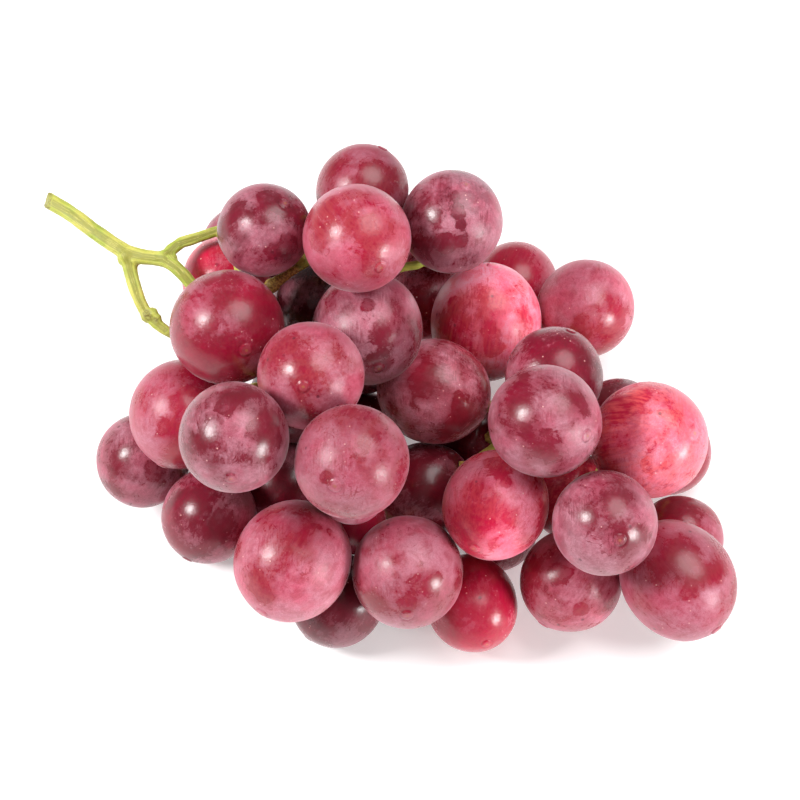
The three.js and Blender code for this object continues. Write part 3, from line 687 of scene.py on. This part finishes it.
# Its outer limbs, in millimetres from the middle of the cut end, from the thick end out
outerLimbs = [
    [(0, 0, 0), (6, -4, 0), (13, -10, 0), (20, -15, -0.5)],
    [(20, -15, -0.5), (24, -16.5, 0), (29, -17.5, 0.5), (32.5, -20, 0), (36, -23.5, -2)],
    [(29, -17.5, 0.5), (32, -13, 0), (37, -11, 0), (42, -8.5, -0.5)],
    [(20, -15, -0.5), (21, -19, -2.5), (23, -25, -5), (25.5, -29, -7), (29.5, -32, -8)],
]
bareTwigs = [
    [(65, -17, 0), (60, -19.5, -1), (54, -23, -3)],
    [(65, -17, 0), (63, -16, 1), (61, -17, 1.6)],
]
stalkShape = {
    "voxel": 0.38 * mm,
    "smoothing": 5,
    "webs": [       # swellings: place in millimetres from the cut end, radius in millimetres
        ((20.3, -15.6, -0.8), 2.35), ((21.6, -16.6, -0.9), 1.75), ((19.6, -16.2, -1.2), 1.7),
        ((29.2, -17.2, 0.4), 2.0), ((30.6, -17.2, 0.3), 1.55),
        ((25.3, -28.6, -6.8), 1.75), ((26.4, -28.2, -6.2), 1.2), ((27.4, -29.6, -6.6), 1.1),
        ((54.6, -22.7, -2.8), 1.75), ((53.6, -23.6, -3.1), 1.4), ((60.9, -17.1, 1.7), 2.1),
    ],
    "knotWebs": (2, 5, 6, 7, 9, 10),    # the webs that are rough and dark
    "cutSlant": Vector((-0.93, 0.02, 0.36)),
    "cutRim": 0.3 * mm,
    "cutDish": 0.15 * mm,
    "cutBack": 0.2 * mm,
    "fatten": 0.16 * mm,
    "groove": 0.34 * mm,        # depth of the furrow along the upper side of the outer limbs
    "wander": 0.22 * mm,        # unevenness along the bark
    "wanderSize": 2.5 * mm,
    "warts": 0.5 * mm,          # on the collars and the dry ends
    "wartSize": 1.0 * mm,
    "limbRadius": 1.6 * mm,
    "collarReach": 4.2 * mm,
    "limbReach": 3.4 * mm,
    "furrowEdge": (0.72, 0.97),         # where the furrow and the painted pale glow on the limbs' sides start and end round a limb
    "paintedRimGlowEdge": (-0.45, 0.25),
    "dryReach": (2.2 * mm, 3.2 * mm),
    "dryStart": (1 * mm, 8 * mm),
    "knotEdge": (0.8, 1.35),
    "cutFade": (0.9 * mm, 1.3 * mm),
}


# paintedRimGlow is painted light: the pale glow along the sides of the stalk's limbs.
stalkColours = {
    "green": (0.36, 0.42, 0.045, 1), "lime": (0.52, 0.49, 0.085, 1), "paintedRimGlow": (0.80, 0.72, 0.27, 1),
    "furrow": (0.24, 0.225, 0.028, 1), "paleFibre": (0.68, 0.63, 0.19, 1), "darkFibre": (0.22, 0.26, 0.03, 1),
    "fleck": (0.17, 0.15, 0.02, 1), "darkStraw": (0.34, 0.16, 0.028, 1), "straw": (0.74, 0.53, 0.14, 1),
    "darkBark": (0.16, 0.11, 0.025, 1), "bark": (0.34, 0.34, 0.07, 1),
}
stalkSettings = {
    "Subsurface Weight": 0.2,
    "Subsurface Radius": (1.0, 0.9, 0.25),
    "Subsurface Scale": 0.6 * mm,
    "Sheen Weight": 0.15,
    "Sheen Tint": (1.0, 0.97, 0.7, 1),
}


def makeStalkFinish(paint):
    finish, w, shader, place = newFinish("stalkGreen")
    collar = w.attribute("collar")["Fac"]
    furrow = w.attribute("furrow")["Fac"]
    paintedRimGlow = w.attribute("paintedRimGlow")["Fac"]
    dry = w.attribute("dry")["Fac"]
    knot = w.attribute("knot")["Fac"]
    grain = w.attribute("grain")["Vector"]
    fibre = w.noise(w.stretch(grain, (160, 2300, 1)), 1.0, 5.0, 0.65)
    patch = w.noise(place, 130, 3.0, 0.6)
    fleck = w.noise(place, 1700, 4.0, 0.65)
    green = w.mix(w.ramp(patch, 0.38, 0.62), paint["green"], paint["lime"])
    # Painted light: pale yellow along the limbs' sides as the camera sees them, standing in for light shining
    # through the thin stalk.
    pale = w.math("MULTIPLY", paintedRimGlow, w.ramp(w.math("ADD", fibre, patch), 0.75, 1.2, 0.25, 1.0))
    green = w.mix(w.math("MULTIPLY", pale, 0.85), green, paint["paintedRimGlow"])
    olive = w.math("MULTIPLY_ADD", w.math("SUBTRACT", fibre, 0.5), 1.2, furrow)
    green = w.mix(w.ramp(olive, 0.3, 0.8, 0.0, 0.8), green, paint["furrow"])
    green = w.mix(w.ramp(fibre, 0.49, 0.62, 0.0, 0.55), green, paint["paleFibre"])
    green = w.mix(w.ramp(fibre, 0.47, 0.38, 0.0, 0.5), green, paint["darkFibre"])
    green = w.mix(w.ramp(fleck, 0.58, 0.7, 0.0, 0.45), green, paint["fleck"])
    straw = w.mix(w.ramp(fleck, 0.38, 0.62), paint["darkStraw"], paint["straw"])
    withered = w.math("MULTIPLY_ADD", w.math("SUBTRACT", patch, 0.5), 0.8, w.math("MAXIMUM", collar, dry))
    colour = w.mix(w.ramp(withered, 0.3, 0.75), green, straw)
    bark = w.mix(w.ramp(fleck, 0.4, 0.6), paint["darkBark"], paint["bark"])
    rough = w.math("MULTIPLY_ADD", w.math("SUBTRACT", fleck, 0.5), 1.4, knot)
    colour = w.mix(w.ramp(rough, 0.35, 0.7, 0.0, 0.85), colour, bark)
    w.put(shader.inputs["Base Color"], colour)
    w.put(shader.inputs["Roughness"], w.ramp(fibre, 0.3, 0.7, 0.45, 0.7))
    for label, value in stalkSettings.items():
        shader.inputs[label].default_value = value
    w.put(shader.inputs["Normal"], w.bump(w.math("MULTIPLY_ADD", fleck, 0.5, fibre)))
    return finish


def findCutEnd():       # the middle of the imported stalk's flat end
    mesh = frame["nodes"]["stem"].data
    left = min(vertex.co.x for vertex in mesh.vertices)
    corners = {}
    for face in mesh.polygons:
        if face.normal.x < -0.6 and abs(face.normal.z) < 0.2 and face.center.x < left + 3 * mm:
            for number in face.vertices:
                co = mesh.vertices[number].co
                corners[tuple(round(value, 5) for value in co)] = co
    return sum(corners.values(), Vector()) / len(corners)


def alongLimbs(points, runs, cutEnd):       # for each point: way along, outward way, limb's way, distance
    best = np.full(len(points), 1e9)
    along = np.zeros(len(points))
    outward = np.zeros((len(points), 3))
    heading = np.zeros((len(points), 3))
    for run in runs:
        passed = 0.0
        stops = [np.array(cutEnd) + np.array(stop) * mm for stop in run]
        for first, second in zip(stops, stops[1:]):
            length = np.linalg.norm(second - first)
            way = (second - first) / length
            share = np.clip((points - first) @ way, 0, length)
            off = points - first - share[:, None] * way
            distance = np.linalg.norm(off, axis=1)
            nearer = distance < best
            best[nearer] = distance[nearer]
            along[nearer] = passed + share[nearer]
            outward[nearer] = off[nearer] / np.maximum(distance[nearer], 1e-9)[:, None]
            heading[nearer] = way
            passed += length
    return along, outward, heading, best


def smoothStep(value, low, high):
    share = np.clip((value - low) / (high - low), 0, 1)
    return share * share * (3 - 2 * share)


def modelStalk(shape, spots):
    stalk = mergedCopy("stem", "stalk")
    cutEnd = findCutEnd()
    clearPick()
    for offset, radius in shape["webs"]:
        place = cutEnd + Vector(offset) * mm
        bpy.ops.mesh.primitive_ico_sphere_add(subdivisions=3, radius=radius * mm, location=place)
        bpy.context.object.name = "web"
    for web in [piece for piece in scene.objects if piece.name.startswith("web")]:
        web.select_set(True)
    stalk.select_set(True)
    bpy.context.view_layer.objects.active = stalk
    bpy.ops.object.join()
    useModifier(stalk, "REMESH", mode="VOXEL", voxel_size=shape["voxel"], use_smooth_shade=True)
    useModifier(stalk, "SMOOTH", factor=0.5, iterations=shape["smoothing"])
    useModifier(stalk, "DISPLACE", strength=shape["fatten"], mid_level=0)
    # the slanting cut, with a shallow rim round the pith
    editWhere(stalk, lambda p: True)
    cutWay = shape["cutSlant"].normalized()
    bpy.ops.mesh.bisect(plane_co=cutEnd - cutWay * shape["cutBack"], plane_no=cutWay, use_fill=True,
                        clear_outer=True)
    bpy.ops.mesh.inset(thickness=shape["cutRim"])
    bpy.ops.transform.translate(value=-cutWay * shape["cutDish"])
    leaveEdit()
    # the furrow along the upper side of the outer limbs
    points = readPoints(stalk)
    along, outward, heading, distance = alongLimbs(points, outerLimbs, cutEnd)
    upper = np.array(cameraBack) - heading * (heading @ np.array(cameraBack))[:, None]
    upper /= np.linalg.norm(upper, axis=1)[:, None]
    facing = np.sum(outward * upper, axis=1)
    onLimb = 1 - smoothStep(distance, shape["limbReach"] * 0.8, shape["limbReach"])
    furrow = smoothStep(facing, *shape["furrowEdge"]) * onLimb
    points -= outward * (furrow * shape["groove"])[:, None]
    stalk.data.vertices.foreach_set("co", points.ravel())
    # how far each point is from collars, dry twigs and knots
    seats = KDTree(len(spots))
    for number, spot in enumerate(spots):
        seats.insert(spot["centre"] + spot["axis"] * spot["halfLength"], number)
    seats.balance()
    collar = np.array([1 - min(1.0, seats.find(point)[2] / shape["collarReach"]) for point in points])
    dryAlong, _, _, dryDistance = alongLimbs(points, bareTwigs, cutEnd)
    dry = 1 - smoothStep(dryDistance, *shape["dryReach"])
    dry = dry * smoothStep(dryAlong, *shape["dryStart"])
    knots = [shape["webs"][number] for number in shape["knotWebs"]]
    knot = np.zeros(len(points))
    for offset, radius in knots:
        away = np.linalg.norm(points - np.array(cutEnd + Vector(offset) * mm), axis=1)
        inner, outer = [radius * mm * edge for edge in shape["knotEdge"]]
        knot = np.maximum(knot, 1 - smoothStep(away, inner, outer))
    cutShare = 1 - smoothStep((points - np.array(cutEnd)) @ -np.array(cutWay), *shape["cutFade"])
    group = stalk.vertex_groups.new(name="rough")
    for number, share in enumerate(np.maximum(np.maximum(collar, knot), dry * 0.4)):
        if share > 0.02:
            group.add([number], float(share), "REPLACE")
    bark = bpy.data.textures.new("barkWander", "CLOUDS")
    bark.noise_scale = shape["wanderSize"]
    useModifier(stalk, "DISPLACE", texture=bark, texture_coords="GLOBAL", strength=shape["wander"],
                mid_level=0.35)
    warts = bpy.data.textures.new("collarWarts", "VORONOI")
    warts.noise_scale = shape["wartSize"]
    useModifier(stalk, "DISPLACE", texture=warts, texture_coords="GLOBAL", strength=-shape["warts"],
                mid_level=0.35, vertex_group="rough")
    around = np.arccos(np.clip(facing, -1, 1)) * shape["limbRadius"]
    grain = np.stack([along, around, np.zeros(len(points))], axis=1)
    away = distance > shape["limbReach"]
    grain[away] = points[away] * 0.5
    giveValues(stalk, "grain", grain, "FLOAT_VECTOR", "vector")
    giveValues(stalk, "furrow", furrow * (1 - cutShare))
    # painted light: the pale glow on the sides of the outer limbs
    giveValues(stalk, "paintedRimGlow", smoothStep(-facing, *shape["paintedRimGlowEdge"]) * onLimb)
    giveValues(stalk, "dry", dry)
    giveValues(stalk, "knot", np.maximum(knot * 0.8, cutShare * 0.8))
    giveValues(stalk, "collar", collar)
    stalk.vertex_groups.clear()
    stalk.data.materials.clear()
    stalk.data.materials.append(makeStalkFinish(stalkColours))
    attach(stalk, "root")
    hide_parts("stem")
    return stalk


stalk = modelStalk(stalkShape, spots)
print("stalk grown, faces:", len(stalk.data.polygons))


# ---- plain pale floor and soft light

studio = {
    "floorSize": 6.0,
    "floorColour": (0.80, 0.80, 0.80, 1),
    "floorGlow": 0.32,
    "skyStrength": 0.24,
    "lights": [
        # where from, power in watts, size
        ((-0.73, -0.12, 0.69), 8.5, 0.27),
        ((0.84, -0.50, 0.19), 6.4, 0.25),
        ((0.38, 0.12, 0.90), 6.8, 0.7),
    ],
    "lightDistance": 0.9,
}


def addFloor(setup):
    clearPick()
    bpy.ops.mesh.primitive_plane_add(size=setup["floorSize"], location=(0, 0, 0))
    floor = bpy.context.object
    floor.name = "paleFloor"
    finish = bpy.data.materials.new("paleFloor")
    finish.use_nodes = True
    shader = finish.node_tree.nodes["Principled BSDF"]
    shader.inputs["Base Color"].default_value = setup["floorColour"]
    shader.inputs["Roughness"].default_value = 0.8
    shader.inputs["Emission Color"].default_value = (1, 1, 1, 1)
    shader.inputs["Emission Strength"].default_value = setup["floorGlow"]
    floor.data.materials.append(finish)


def addLights(setup):
    aim = cameraSetup["aim"]
    for way, power, size in setup["lights"]:
        place = aim + Vector(way).normalized() * setup["lightDistance"]
        clearPick()
        bpy.ops.object.light_add(type="AREA", location=place)
        light = bpy.context.object
        light.rotation_euler = (aim - place).to_track_quat("-Z", "Y").to_euler()
        light.data.energy = power
        light.data.shape = "DISK"
        light.data.size = size
    world = bpy.data.worlds.new("studio")
    world.use_nodes = True
    sky = world.node_tree.nodes["Background"]
    sky.inputs["Color"].default_value = (1, 1, 1, 1)
    # the sky is white where it is seen, and dimmer as a light
    w = Wires(world.node_tree)
    seen = w.tree.nodes.new("ShaderNodeLightPath").outputs["Is Camera Ray"]
    w.put(sky.inputs["Strength"], w.ramp(seen, 0, 1, setup["skyStrength"], 1.0))
    scene.world = world
    scene.view_settings.view_transform = "Standard"


addFloor(studio)
addLights(studio)
print("studio lit")
